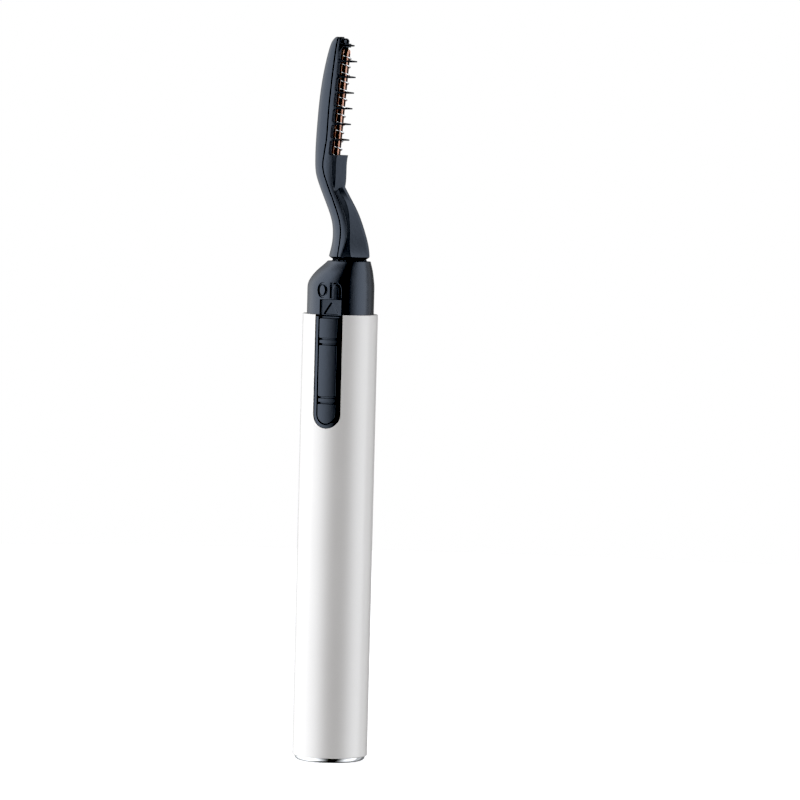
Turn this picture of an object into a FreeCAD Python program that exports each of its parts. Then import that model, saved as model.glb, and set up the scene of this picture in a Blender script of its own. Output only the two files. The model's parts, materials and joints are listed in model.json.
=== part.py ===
import FreeCAD
import Part

import math
import os

import Sketcher

# Heated eyelash curler: a battery pen with a curved heating comb.
#
# Frame: millimetres, +Z up the barrel's axis, origin at the centre of the base cap's flat foot.
# The switch slot faces -Y and the comb's teeth point to +X. The pen stands on its base cap.

Vector = FreeCAD.Vector
Y_AXIS = Vector(0, 1, 0)
Z_AXIS = Vector(0, 0, 1)

# Driving dimensions, in millimetres and degrees. Each becomes an aliased cell of the sheet.
DIMENSIONS = (
    # barrel: a thin painted tube with a round-ended slot that is open at the top
    ("barrel_radius", 7.75),
    ("barrel_bore", 6.95),
    ("barrel_foot", 1.0),
    ("barrel_top", 92.3),
    ("barrel_edge", 0.2),
    ("slot_half_width", 2.95),
    ("slot_floor", 68.95),
    # base cap, which carries the battery spring
    ("cap_radius", 7.3),
    ("cap_height", 0.95),
    ("cap_edge", 0.8),
    ("plug_radius", 6.0),
    ("plug_top", 4.6),
    ("lock_depth", 0.5),
    ("lock_foot", 1.6),
    ("lock_height", 1.2),
    ("lock_turn", 60.0),
    ("lock_entry", 14.0),
    ("coin_slot_length", 8.0),
    ("coin_slot_width", 1.3),
    ("coin_slot_depth", 0.7),
    ("insert_radius", 6.92),
    ("insert_bore", 6.12),
    ("insert_top", 6.4),
    # rotating spring seat, riveted to the cap
    ("seat_radius", 5.35),
    ("seat_foot", 4.65),
    ("seat_top", 5.85),
    ("rivet_shank", 0.75),
    ("rivet_head", 1.6),
    ("rivet_head_foot", 5.3),
    ("running_gap", 0.08),
    ("metal_thickness", 0.25),
    ("washer_radius", 5.0),
    ("washer_bore", 2.3),
    ("tab_reach", 5.6),
    ("tab_half_width", 1.2),
    ("spring_wire", 0.28),
    ("spring_radius", 3.5),
    ("spring_foot", 6.5),
    ("spring_height", 2.0),
    ("spring_turns", 3.0),
    # size AAA cell
    ("cell_foot", 8.85),
    ("cell_length", 44.5),
    ("cell_radius", 5.15),
    ("cell_bevel", 0.5),
    ("nub_radius", 1.9),
    ("nub_height", 1.0),
    ("label_radius", 5.27),
    ("label_inner", 5.17),
    # carrier halves around the cell and the switch
    ("carrier_radius", 6.85),
    ("carrier_bore", 5.55),
    ("carrier_foot", 6.6),
    ("carrier_top", 88.2),
    ("bay_top", 54.2),
    ("chamber_foot", 55.8),
    ("chamber_depth", 4.6),
    ("front_chamber_half", 4.4),
    ("back_chamber_half", 3.4),
    ("split_gap", 0.02),
    ("tongue_half_width", 2.85),
    ("tongue_radius", 7.6),
    ("tongue_root", 5.2),
    ("tongue_top", 91.9),
    ("screw_level", 62.0),
    ("screw_side", 5.0),
    ("screw_shank", 0.5),
    ("screw_head", 1.0),
    ("screw_head_foot", 2.4),
    ("screw_length", 5.0),
    # slide switch
    ("channel_half_width", 2.25),
    ("channel_floor", 6.0),
    ("channel_top", 95.4),
    ("slider_half_width", 2.05),
    ("slider_radius", 7.7),
    ("slider_base", 6.05),
    ("slider_top", 91.6),
    ("slider_end_centre", 71.9),
    ("slider_travel", 3.2),
    ("stem_half_width", 0.9),
    ("stem_foot", 78.2),
    ("stem_height", 2.4),
    ("stem_reach", 3.45),
    ("groove_depth", 0.45),
    ("groove_height", 1.45),
    ("upper_groove", 86.1),
    ("lower_groove", 74.1),
    ("grip_height", 0.5),
    # switch board and contacts
    ("board_half_width", 4.2),
    ("board_foot", 68.5),
    ("board_top", 87.8),
    ("board_face", 0.85),
    ("board_back", 0.05),
    ("strip_inner", 0.8),
    ("strip_outer", 2.6),
    # neck collar
    ("collar_radius", 6.9),
    ("collar_foot", 88.3),
    ("collar_straight_top", 97.0),
    ("collar_top", 103.2),
    ("collar_cavity", 5.2),
    ("cavity_top", 94.0),
    ("notch_top", 92.0),
    ("wire_hole", 2.6),
    ("letter_depth", 0.5),
    ("letter_foot", 95.7),
    ("letter_height", 3.15),
    ("letter_stroke", 0.5),
    ("mark_floor", 5.75),
    ("mark_depth", 0.3),
    # comb head
    ("head_offset", 1.7),
    ("head_foot", 103.75),
    ("head_radius", 4.33),
    ("spigot_radius", 3.72),
    ("spigot_foot", 100.3),
    ("parting_gap", 0.1),
    ("comb_foot_x", -2.02),
    ("comb_foot_z", 121.7),
    ("comb_lean", 4.5),
    ("window_foot", 3.25),
    ("window_top", 25.45),
    ("lip_level", 104.1),
    ("keel_depth", 0.6),
    ("nose_drop", 0.32),
    ("nose_shoulder", 0.55),
    ("nose_half", 0.2),
    ("rail_plane", -0.8),
    ("web_reach", 0.4),
    ("web_thickness", 0.62),
    ("window_corner", 0.35),
    ("ledge_face", 1.72),
    ("ledge_reach", 0.3),
    ("ledge_rise", 0.12),
    ("trough_floor", -1.45),
    ("trough_half_width", 1.25),
    ("tooth_count", 7),
    ("first_tooth", 6.43),
    ("tooth_pitch", 3.236),
    ("tooth_tip", 2.05),
    ("last_tooth_tip", 1.15),
    ("tooth_droop", 2.0),
    ("tooth_root_thickness", 0.66),
    ("tooth_tip_thickness", 0.28),
    ("tooth_root_width", 1.0),
    ("tooth_tip_width", 0.35),
    ("end_wall_front", 0.6),
    ("end_wall_half", 1.1),
    ("end_wall_thickness", 0.8),
    ("tip_boss_x", -0.2),
    ("tip_boss_z", 148.26),
    ("tip_boss_radius", 0.66),
    ("tip_boss_half", 0.32),
    ("tip_pin_radius", 0.34),
    ("tip_pin_half", 0.5),
    ("tip_recess_radius", 0.5),
    ("tip_recess_depth", 0.14),
    # heater in the comb
    ("core_radius", 0.85),
    ("core_length", 24.2),
    ("tongue_back", -0.12),
    ("tongue_front", 0.32),
    ("tongue_half", 0.35),
    ("tongue_length", 1.7),
    ("strand_radius", 0.17),
    ("strand_orbit", 0.8),
    ("strand_foot", -0.02),
    ("strand_top", 24.3),
    ("front_strand_angle", 47.0),
    ("back_strand_angle", 121.0),
    ("winding_radius", 0.125),
    ("winding_orbit", 1.1),
    ("winding_pitch", 1.7),
    ("winding_foot", 2.84),
    ("winding_height", 21.6),
    ("lead_radius", 0.42),
    ("lead_spread", 0.6),
    ("terminal_radius", 1.08),
    ("terminal_thickness", 0.5),
)

# Stations of the head's outer envelope, from the flange to the tip:
# level, centre, half depth along X, half width along Y.
HEAD_STATIONS = (
    (103.5, 1.70, 4.33, 4.32),
    (104.4, 1.74, 4.24, 4.14),
    (106.1, 1.78, 3.90, 3.72),
    (108.6, 1.52, 3.42, 3.12),
    (111.1, 0.92, 3.08, 2.72),
    (113.6, -0.05, 2.94, 2.48),
    (116.0, -1.18, 2.83, 2.37),
    (118.5, -2.23, 2.84, 2.33),
    (121.0, -2.62, 3.31, 2.33),
    (123.5, -2.60, 3.58, 2.33),
    (127.0, -2.48, 3.68, 2.33),
    (132.0, -2.28, 3.62, 2.33),
    (137.0, -2.05, 3.44, 2.33),
    (142.0, -1.80, 2.97, 2.22),
    (144.5, -1.68, 2.58, 2.08),
    (146.6, -1.58, 2.16, 1.88),
    (148.0, -1.50, 1.76, 1.58),
    (148.7, -1.44, 1.40, 1.26),
    (149.2, -1.38, 0.85, 0.78),
)

# Stations of the keel on the front of the neck, tapering upwards to the heater boss:
# level, nose, X and half width of the shoulder, X and half width of the root at the rails.
KEEL_STATIONS = (
    (103.5, 6.02, 3.40, 3.70, 1.10, 4.08),
    (104.4, 5.98, 3.10, 3.45, 1.10, 3.90),
    (106.1, 5.77, 2.72, 3.12, 1.20, 3.50),
    (108.6, 5.09, 2.52, 2.68, 1.60, 2.88),
    (111.1, 4.21, 2.24, 2.16, 1.25, 2.36),
    (113.6, 3.10, 1.72, 1.60, 0.45, 1.84),
    (116.0, 1.72, 0.62, 1.25, -0.75, 1.44),
    (118.4, 0.33, -0.60, 1.02, -2.00, 1.15),
)

# The same for the boss that holds the heater's foot.
BOSS_STATIONS = (
    (117.6, 0.10, -1.50, 1.75, -2.30, 2.05),
    (119.0, 0.42, -1.22, 1.90, -2.10, 2.12),
    (121.0, 0.53, -1.12, 1.98, -1.95, 2.15),
    (124.95, 0.80, -0.90, 1.98, -1.95, 2.15),
)

# Stations of the collar's shoulder: level, centre, radius.
COLLAR_STATIONS = (
    (97.0, 0.00, 6.90),
    (97.6, 0.00, 6.90),
    (98.7, 0.06, 6.78),
    (99.9, 0.32, 6.38),
    (101.2, 0.79, 5.74),
    (102.4, 1.33, 4.93),
    (103.2, 1.66, 4.42),
)

# What the numbers of a station are called in the sheet; a round station has no width.
ELLIPSE_CELLS = ("level", "centre", "depth", "width")
KEEL_CELLS = ("level", "nose", "shoulder", "shoulder_half", "root", "root_half")

# Side view (X, Z) of the line where the back shell meets the front frame, from the flange up.
PARTING_LINE = (
    (0.45, 103.5),
    (0.50, 105.6),
    (0.62, 108.6),
    (0.30, 111.1),
    (-0.66, 113.9),
    (-2.02, 117.2),
    (-3.35, 120.5),
    (-3.80, 122.2),
    (-3.76, 124.0),
    (-3.20, 127.6),
    (-2.92, 132.1),
    (-2.54, 137.5),
    (-2.13, 142.0),
    (-1.62, 147.8),
    (-1.46, 149.8),
)

# Side view of the front edge of the two side rails, from the heater boss down to the flange.
RAIL_LINE = (
    (-1.92, 124.95),
    (-1.86, 121.0),
    (-1.38, 117.8),
    (0.25, 114.6),
    (1.45, 111.7),
    (1.93, 108.5),
    (1.45, 105.8),
    (0.95, 103.5),
)

# Side view of the middle of the wire channel through the head, from the spigot to the heater.
WIRE_LINE = (
    (1.70, 99.8),
    (1.70, 106.4),
    (0.35, 112.2),
    (-2.20, 117.2),
    (-2.07, 121.06),
)

# Where each lead starts below the neck, as X, Y, Z: from the switch board and from the return strip.
LIVE_LEAD_START = (
    (1.7, -1.7, 85.2),
    (1.7, -1.7, 90.0),
)
RETURN_LEAD_START = (
    (0.0, 5.0, 84.6),
    (0.0, 4.6, 89.2),
    (1.2, 1.8, 94.5),
)

doc = FreeCAD.newDocument("eyelash_curler")
sheet = doc.addObject("Spreadsheet::Sheet", "dims")
subparts = []


# ---------------------------------------------------------------- helpers


def write_cell(row, alias, value):
    """One named number in the sheet."""
    sheet.set("A%d" % row, alias)
    sheet.set("B%d" % row, repr(value))
    sheet.setAlias("B%d" % row, alias)


def station_alias(family, index, what):
    return "%s_%s_%s" % (family, chr(ord("a") + index), what)


def write_sheet():
    """All driving dimensions, then the stations of the lofted shapes."""
    row = 1
    for alias, value in DIMENSIONS:
        write_cell(row, alias, value)
        row += 1
    families = (
        ("head", ELLIPSE_CELLS, HEAD_STATIONS),
        ("keel", KEEL_CELLS, KEEL_STATIONS),
        ("boss", KEEL_CELLS, BOSS_STATIONS),
        ("collar", ELLIPSE_CELLS, COLLAR_STATIONS),
    )
    for family, names, stations in families:
        for index, station in enumerate(stations):
            for what, value in zip(names, station):
                write_cell(row, station_alias(family, index, what), value)
                row += 1
    doc.recompute()


def dim(alias):
    """A number read back from the sheet."""
    return float(sheet.get(alias))


PROPERTY_PATHS = {"x": "Placement.Base.x", "y": "Placement.Base.y", "z": "Placement.Base.z"}


def primitive(kind, name, **sizes):
    """A Part primitive with each size, and its place x, y, z, bound to an expression."""
    made = doc.addObject("Part::" + kind, name)
    for size, expression in sizes.items():
        made.setExpression(PROPERTY_PATHS.get(size, size), expression)
    return made


def block(name, x, y, z):
    """A box given by three (low, high) pairs of expressions."""
    pairs = (("Length", "x", x), ("Width", "y", y), ("Height", "z", z))
    sizes = {}
    for length, place, (low, high) in pairs:
        sizes[length] = "(%s) - (%s)" % (high, low)
        sizes[place] = low
    return primitive("Box", name, **sizes)


def along_y(made):
    """Turns a primitive that was made along Z so that it runs along -Y."""
    made.Placement.Rotation = FreeCAD.Rotation(Vector(1, 0, 0), 90)
    return made


def joined(name, *pieces):
    made = doc.addObject("Part::MultiFuse", name)
    made.Shapes = list(pieces)
    made.Refine = True
    return made


def shared(name, *pieces):
    made = doc.addObject("Part::MultiCommon", name)
    made.Shapes = list(pieces)
    return made


def removed(name, base, *tools):
    """base less all the tools."""
    tool = tools[0] if len(tools) == 1 else joined(name + "_tools", *tools)
    made = doc.addObject("Part::Cut", name)
    made.Base = base
    made.Tool = tool
    made.Refine = True
    return made


def shaped(name, shape):
    """A Part::Feature for a shape that no primitive or body gives."""
    made = doc.addObject("Part::Feature", name)
    made.Shape = shape
    return made


def subpart(made):
    """Marks an object as a sub-part. Its name is its label and its file's name."""
    made.Label = made.Name
    subparts.append(made)
    return made


def body(name):
    return doc.addObject("PartDesign::Body", name)


def sketch_on(owner, name, role, height=None):
    """A sketch on one of the body's own origin planes, lifted off it by an expression."""
    made = owner.newObject("Sketcher::SketchObject", name)
    plane = next(f for f in owner.Origin.OriginFeatures if f.Role == role)
    made.AttachmentSupport = [(plane, "")]
    made.MapMode = "FlatFace"
    if height:
        made.setExpression("AttachmentOffset.Base.z", height)
    return made


def bind(sketch, constraint, expression):
    index = sketch.addConstraint(constraint)
    sketch.setExpression("Constraints[%d]" % index, expression)


def outline(sketch, corners):
    """A closed outline of straight edges; each corner is a pair of expressions."""
    count = len(corners)
    start = len(sketch.Geometry)
    guesses = [
        Vector(10 * math.cos(math.tau * i / count), 10 * math.sin(math.tau * i / count), 0)
        for i in range(count)
    ]
    for i in range(count):
        sketch.addGeometry(Part.LineSegment(guesses[i], guesses[(i + 1) % count]), False)
    for i in range(count):
        following = start + (i + 1) % count
        sketch.addConstraint(Sketcher.Constraint("Coincident", start + i, 2, following, 1))
    for i, (x, y) in enumerate(corners):
        bind(sketch, Sketcher.Constraint("DistanceX", start + i, 1, guesses[i].x), x)
        bind(sketch, Sketcher.Constraint("DistanceY", start + i, 1, guesses[i].y), y)


def ring(sketch, radius):
    """A circle about the sketch's origin."""
    index = sketch.addGeometry(Part.Circle(Vector(), Z_AXIS, 1.0), False)
    sketch.addConstraint(Sketcher.Constraint("Coincident", index, 3, -1, 1))
    bind(sketch, Sketcher.Constraint("Radius", index, 1.0), radius)


def turned(owner, name, corners):
    """A full revolution about Z of an outline whose corners are (radius, level)."""
    profile = sketch_on(owner, name + "_profile", "XZ_Plane")
    outline(profile, corners)
    made = owner.newObject("PartDesign::Revolution", name + "_turned")
    made.Profile = profile
    made.ReferenceAxis = (profile, ["V_Axis"])
    made.Angle = 360
    doc.recompute()
    return made


def pocket(owner, sketch, name, depth, upwards=False):
    """A pocket from a horizontal sketch; it has to take material away."""
    before = owner.Shape.Volume
    made = owner.newObject("PartDesign::Pocket", name)
    made.Profile = sketch
    made.setExpression("Length", depth)
    made.Reversed = upwards
    doc.recompute()
    if owner.Shape.Volume >= before:
        raise ValueError(name + " cuts nothing")
    return made


def edges_where(shape, test):
    return [i + 1 for i, edge in enumerate(shape.Edges) if test(edge)]


def rounded(owner, base, name, radius, test, kind="Fillet"):
    """A fillet or chamfer on the body's edges that pass the test."""
    made = owner.newObject("PartDesign::" + kind, name)
    made.Base = (base, ["Edge%d" % i for i in edges_where(base.Shape, test)])
    made.setExpression("Radius" if kind == "Fillet" else "Size", radius)
    doc.recompute()
    return made


def is_ring_at(radius, level):
    """A test for the circular edges of one radius at one level."""

    def test(edge):
        circle = isinstance(edge.Curve, Part.Circle)
        middle = (edge.BoundBox.ZMin + edge.BoundBox.ZMax) / 2
        return circle and abs(edge.Curve.Radius - radius) < 1e-4 and abs(middle - level) < 1e-4

    return test


def rounded_route(points):
    """Straight runs joined by tangent arcs, as wide as the shorter run beside each allows."""
    share = 0.45
    edges = []
    last = points[0]
    for before, corner, after in zip(points, points[1:], points[2:]):
        back = before - corner
        ahead = after - corner
        half = back.getAngle(ahead) / 2
        reach = share * min(back.Length, ahead.Length)
        back.normalize()
        ahead.normalize()
        start = corner + back * reach
        end = corner + ahead * reach
        radius = reach * math.tan(half)
        inward = (back + ahead).normalize()
        middle = corner + inward * (radius / math.sin(half) - radius)
        edges.append(Part.LineSegment(last, start).toShape())
        edges.append(Part.Arc(start, middle, end).toShape())
        last = end
    edges.append(Part.LineSegment(last, points[-1]).toShape())
    return Part.Wire(edges)


def tube_along(route, radius):
    """A round rod that follows a wire."""
    start = route.Edges[0].valueAt(route.Edges[0].FirstParameter)
    direction = route.Edges[0].tangentAt(route.Edges[0].FirstParameter)
    section = Part.Wire([Part.Circle(start, direction, radius).toShape()])
    return route.makePipeShell([section], True, True)


def loft(name, family, stations):
    """A smooth loft through ellipses whose places and sizes are in the sheet."""
    sections = []
    for index, station in enumerate(stations):
        cells = ["dims." + station_alias(family, index, what)
                 for what in ELLIPSE_CELLS]
        round_station = len(station) == 3
        section = primitive(
            "Ellipse",
            "%s_%s" % (name, chr(ord("a") + index)),
            MajorRadius=cells[2],
            MinorRadius=cells[2] if round_station else cells[3],
            x=cells[1],
            z=cells[0],
        )
        sections.append(section)
    made = doc.addObject("Part::Loft", name)
    made.Sections = sections
    made.Solid = True
    made.Ruled = False
    doc.recompute()
    return made


def keel_loft(family, count):
    """A loft through flat-sided sections with a narrow nose."""
    sections = []
    for index in range(count):
        cells = [dim(station_alias(family, index, what)) for what in KEEL_CELLS]
        level, nose, shoulder, shoulder_half, root, root_half = cells
        side = [
            (root - dim("keel_depth"), root_half),
            (root, root_half),
            (shoulder, shoulder_half),
            (nose - dim("nose_drop"), dim("nose_shoulder")),
            (nose, dim("nose_half")),
        ]
        points = [Vector(x, -y, level) for x, y in side]
        points += [Vector(x, y, level) for x, y in reversed(side)]
        sections.append(Part.makePolygon(points + points[:1]))
    return Part.makeLoft(sections, True, False)


# ---------------------------------------------------------------- base cap and spring seat


def make_battery_cap():
    cap = body("cap_body")
    base = turned(cap, "cap", (
        ("0", "0"),
        ("dims.cap_radius", "0"),
        ("dims.cap_radius", "dims.cap_height"),
        ("dims.plug_radius", "dims.cap_height"),
        ("dims.plug_radius", "dims.plug_top"),
        ("0", "dims.plug_top"),
    ))
    rounded(cap, base, "cap_foot_round", "dims.cap_edge", is_ring_at(dim("cap_radius"), 0.0))
    coin = sketch_on(cap, "coin_slot", "XY_Plane")
    half_length = "dims.coin_slot_length / 2"
    half_width = "dims.coin_slot_width / 2"
    outline(coin, (
        ("-" + half_length, "-" + half_width),
        (half_length, "-" + half_width),
        (half_length, half_width),
        ("-" + half_length, half_width),
    ))
    pocket(cap, coin, "coin_slot_cut", "dims.coin_slot_depth", upwards=True)
    rivet_seat = sketch_on(cap, "rivet_seat", "XY_Plane", "dims.plug_top")
    ring(rivet_seat, "dims.rivet_shank")
    pocket(cap, rivet_seat, "rivet_hole", "1.2")
    slots = []
    for side, start in (("left", 0), ("right", 180)):
        turn = primitive("Cylinder", side + "_lock_turn", Radius="dims.plug_radius + 1",
                         Height="dims.lock_height", Angle="dims.lock_turn", z="dims.lock_foot")
        entry = primitive("Cylinder", side + "_lock_entry", Radius="dims.plug_radius + 1",
                          Height="dims.plug_top", Angle="dims.lock_entry", z="dims.lock_foot")
        for sector in (turn, entry):
            sector.Placement.Rotation = FreeCAD.Rotation(Z_AXIS, start)
        slots.append(joined(side + "_lock_slot", turn, entry))
    core = primitive("Cylinder", "lock_core", Radius="dims.plug_radius - dims.lock_depth", Height="20")
    locks = removed("lock_slots", joined("lock_sectors", *slots), core)
    subpart(removed("battery_cap", cap, locks))


def make_cap_rivet():
    rivet = body("cap_rivet")
    turned(rivet, "rivet", (
        ("0", "dims.plug_top - 1.1"),
        ("dims.rivet_shank", "dims.plug_top - 1.1"),
        ("dims.rivet_shank", "dims.rivet_head_foot"),
        ("dims.rivet_head", "dims.rivet_head_foot"),
        ("dims.rivet_head", "dims.rivet_head_foot + 0.3"),
        ("dims.rivet_head - 0.4", "dims.rivet_head_foot + 0.5"),
        ("0", "dims.rivet_head_foot + 0.5"),
    ))
    subpart(rivet)


def make_spring_seat():
    seat = body("spring_seat")
    hole = "dims.rivet_shank + dims.running_gap"
    recess = "dims.rivet_head + 2 * dims.running_gap"
    floor = "dims.rivet_head_foot - dims.running_gap"
    turned(seat, "seat", (
        (hole, "dims.seat_foot"),
        ("dims.seat_radius", "dims.seat_foot"),
        ("dims.seat_radius", "dims.seat_top"),
        (recess, "dims.seat_top"),
        (recess, floor),
        (hole, floor),
    ))
    subpart(seat)


def make_seat_contact():
    contact = body("seat_contact")
    washer = sketch_on(contact, "washer", "XY_Plane", "dims.seat_top + 0.02")
    ring(washer, "dims.washer_radius")
    ring(washer, "dims.washer_bore")
    pad = contact.newObject("PartDesign::Pad", "washer_pad")
    pad.Profile = washer
    pad.setExpression("Length", "dims.metal_thickness")
    doc.recompute()
    tab = sketch_on(contact, "tab", "XY_Plane", "dims.seat_top + 0.02")
    outline(tab, (
        ("-dims.tab_half_width", "dims.washer_bore + 1"),
        ("dims.tab_half_width", "dims.washer_bore + 1"),
        ("dims.tab_half_width", "dims.tab_reach"),
        ("-dims.tab_half_width", "dims.tab_reach"),
    ))
    tongue = contact.newObject("PartDesign::Pad", "tab_pad")
    tongue.Profile = tab
    tongue.setExpression("Length", "dims.metal_thickness")
    subpart(contact)


def coil_shape(radius, wire, pitch, height, left_handed=False):
    """A round wire wound about Z."""
    helix = Part.makeHelix(pitch, height, radius, 0, left_handed)
    section = Part.Wire([Part.Circle(Vector(radius, 0, 0), Y_AXIS, wire).toShape()])
    return helix.makePipeShell([section], True, True)


def make_battery_spring():
    """A short coil between the seat and the cell."""
    height = dim("spring_height")
    coil = coil_shape(dim("spring_radius"), dim("spring_wire"), height / dim("spring_turns"), height)
    made = shaped("battery_spring", coil)
    made.Placement = FreeCAD.Placement(Vector(0, 0, dim("spring_foot")), FreeCAD.Rotation())
    subpart(made)


# ---------------------------------------------------------------- cell


def make_battery_cell():
    cell = body("battery_cell")
    top = "dims.cell_foot + dims.cell_length"
    shoulder = top + " - dims.nub_height"
    turned(cell, "cell", (
        ("0", "dims.cell_foot"),
        ("dims.cell_radius - dims.cell_bevel", "dims.cell_foot"),
        ("dims.cell_radius", "dims.cell_foot + dims.cell_bevel"),
        ("dims.cell_radius", shoulder + " - dims.cell_bevel"),
        ("dims.cell_radius - dims.cell_bevel", shoulder),
        ("dims.nub_radius", shoulder),
        ("dims.nub_radius", top + " - 0.2"),
        ("dims.nub_radius - 0.2", top),
        ("0", top),
    ))
    subpart(cell)


def make_battery_label():
    label = body("battery_label")
    foot = "dims.cell_foot + dims.cell_bevel + 0.1"
    top = "dims.cell_foot + dims.cell_length - dims.nub_height - dims.cell_bevel - 0.1"
    turned(label, "label", (
        ("dims.label_inner", foot),
        ("dims.label_radius", foot),
        ("dims.label_radius", top),
        ("dims.label_inner", top),
    ))
    subpart(label)


# ---------------------------------------------------------------- barrel and carrier


def slot_shape(name, half_width, foot_centre, top, depth=("-9", "0")):
    """A round-ended upright slot, as a solid that crosses the barrel's -Y side."""
    straight = block(name + "_straight", ("-(%s)" % half_width, half_width), depth,
                     (foot_centre, top))
    end = along_y(primitive("Cylinder", name + "_end", Radius=half_width,
                            Height="(%s) - (%s)" % (depth[1], depth[0]),
                            y=depth[1], z=foot_centre))
    return joined(name, straight, end)


def make_barrel_sleeve():
    tube = body("barrel_tube")
    base = turned(tube, "barrel", (
        ("dims.barrel_bore", "dims.barrel_foot"),
        ("dims.barrel_radius", "dims.barrel_foot"),
        ("dims.barrel_radius", "dims.barrel_top"),
        ("dims.barrel_bore", "dims.barrel_top"),
    ))
    radius = dim("barrel_radius")

    def is_rim(edge):
        return is_ring_at(radius, dim("barrel_foot"))(edge) or is_ring_at(radius, dim("barrel_top"))(edge)

    rounded(tube, base, "barrel_rims", "dims.barrel_edge", is_rim)
    centre = "dims.slot_floor + dims.slot_half_width"
    slot = slot_shape("switch_slot", "dims.slot_half_width", centre, "dims.barrel_top + 1",
                      ("-dims.barrel_radius - 1", "-3"))
    subpart(removed("barrel_sleeve", tube, slot))


def make_base_insert():
    insert = body("base_insert")
    foot = "dims.barrel_foot + 0.05"
    turned(insert, "insert", (
        ("dims.insert_bore", foot),
        ("dims.insert_radius", foot),
        ("dims.insert_radius", "dims.insert_top"),
        ("dims.insert_bore", "dims.insert_top"),
    ))
    subpart(insert)


def carrier_tube(name):
    """The carrier before it is split: an outer cylinder less the cell's bay."""
    outer = primitive("Cylinder", name + "_outer", Radius="dims.carrier_radius",
                      Height="dims.carrier_top - dims.carrier_foot", z="dims.carrier_foot")
    bay = primitive("Cylinder", name + "_bay", Radius="dims.carrier_bore",
                    Height="dims.bay_top - dims.carrier_foot + 1", z="dims.carrier_foot - 1")
    return removed(name, outer, bay)


def screw_hole(name, side, radius, low, high):
    """A hole along Y for one of the two carrier screws."""
    return along_y(primitive("Cylinder", name, Radius=radius, Height="(%s) - (%s)" % (high, low),
                             x="%d * dims.screw_side" % side, y=high, z="dims.screw_level"))


def make_carrier_front():
    """The half with the switch: a tongue fills the barrel's slot and guides the slider."""
    half = shared("carrier_front_half", carrier_tube("carrier_front_tube"),
                  block("front_side", ("-8", "8"), ("-8", "-dims.split_gap"), ("0", "100")))
    centre = "dims.slider_end_centre"
    tongue_outline = slot_shape("tongue_outline", "dims.tongue_half_width", centre, "dims.tongue_top",
                                ("-9", "-dims.tongue_root"))
    tongue_limit = primitive("Cylinder", "tongue_limit", Radius="dims.tongue_radius", Height="100")
    tongue = shared("tongue", tongue_outline, tongue_limit)
    solid = joined("carrier_front_solid", half, tongue)
    channel = slot_shape("slider_channel", "dims.channel_half_width", centre, "dims.tongue_top + 1",
                         ("-9", "-dims.channel_floor"))
    chamber = block("front_chamber", ("-dims.front_chamber_half", "dims.front_chamber_half"),
                    ("-dims.chamber_depth", "0"), ("dims.chamber_foot", "dims.carrier_top + 1"))
    stem_slot = block("stem_slot", ("-dims.stem_half_width - 0.2", "dims.stem_half_width + 0.2"),
                      ("-7", "-3"), ("dims.stem_foot - 0.3",
                                     "dims.stem_foot + dims.stem_height + dims.slider_travel + 0.3"))
    strap_slot = block("front_strap_slot", ("-dims.strip_outer - 0.2", "-dims.strip_inner + 0.2"),
                       ("-1.7", "-0.85"), ("dims.bay_top - 1", "dims.chamber_foot + 1"))
    holes = [screw_hole("front_screw_hole_%d" % index, side, "dims.screw_shank + 0.02", "-2.9", "0")
             for index, side in enumerate((-1, 1))]
    subpart(removed("carrier_front", solid, channel, chamber, stem_slot, strap_slot, *holes))


def make_carrier_back():
    """The half with the return strip's groove and the screw heads."""
    half = shared("carrier_back_half", carrier_tube("carrier_back_tube"),
                  block("back_side", ("-8", "8"), ("dims.split_gap", "8"), ("0", "100")))
    chamber = block("back_chamber", ("-dims.back_chamber_half", "dims.back_chamber_half"),
                    ("0", "dims.chamber_depth"), ("dims.chamber_foot", "dims.carrier_top + 1"))
    groove = block("strip_groove", ("-dims.tab_half_width - 0.2", "dims.tab_half_width + 0.2"),
                   ("5", "dims.tab_reach + 0.4"), ("0", "dims.carrier_top + 1"))
    outlet = block("strip_outlet", ("-dims.tab_half_width - 0.2", "dims.tab_half_width + 0.2"),
                   ("dims.chamber_depth - 0.1", "5.1"), ("82", "dims.carrier_top + 1"))
    holes = []
    for index, side in enumerate((-1, 1)):
        holes.append(screw_hole("back_screw_hole_%d" % index, side, "dims.screw_shank + 0.1",
                                "0", "dims.screw_head_foot + 0.1"))
        holes.append(screw_hole("screw_head_hole_%d" % index, side, "dims.screw_head + 0.1",
                                "dims.screw_head_foot - 0.02", "8"))
    subpart(removed("carrier_back", half, chamber, groove, outlet, *holes))


def make_carrier_screws():
    """Two small screws that hold the carrier halves together, with a slot in each head."""
    screws = []
    for index, side in enumerate((-1, 1)):
        shank = screw_hole("shank_%d" % index, side, "dims.screw_shank",
                           "dims.screw_head_foot - dims.screw_length", "dims.screw_head_foot")
        head = screw_hole("head_%d" % index, side, "dims.screw_head",
                          "dims.screw_head_foot", "dims.screw_head_foot + 0.8")
        drive = block("drive_%d" % index,
                      ("%d * dims.screw_side - 0.8" % side, "%d * dims.screw_side + 0.8" % side),
                      ("dims.screw_head_foot + 0.45", "dims.screw_head_foot + 1"),
                      ("dims.screw_level - 0.15", "dims.screw_level + 0.15"))
        screws.append(removed("screw_%d" % index, joined("screw_blank_%d" % index, shank, head), drive))
    both = doc.addObject("Part::Compound", "carrier_screws")
    both.Links = screws
    subpart(both)


# ---------------------------------------------------------------- electrics


def make_positive_contact():
    """A plate on the cell's nub with a strap up to the switch board."""
    foot = "dims.cell_foot + dims.cell_length + 0.05"
    front = "-dims.board_face - 2 * dims.metal_thickness - 0.05"
    plate = block("contact_plate", ("-dims.strip_outer", "dims.strip_outer"), (front, "dims.strip_outer"),
                  (foot, foot + " + dims.metal_thickness"))
    strap = block("contact_strap", ("-dims.strip_outer", "-dims.strip_inner"),
                  (front, front + " + dims.metal_thickness"), (foot, "dims.board_foot + 3"))
    subpart(joined("positive_contact", plate, strap))


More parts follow.
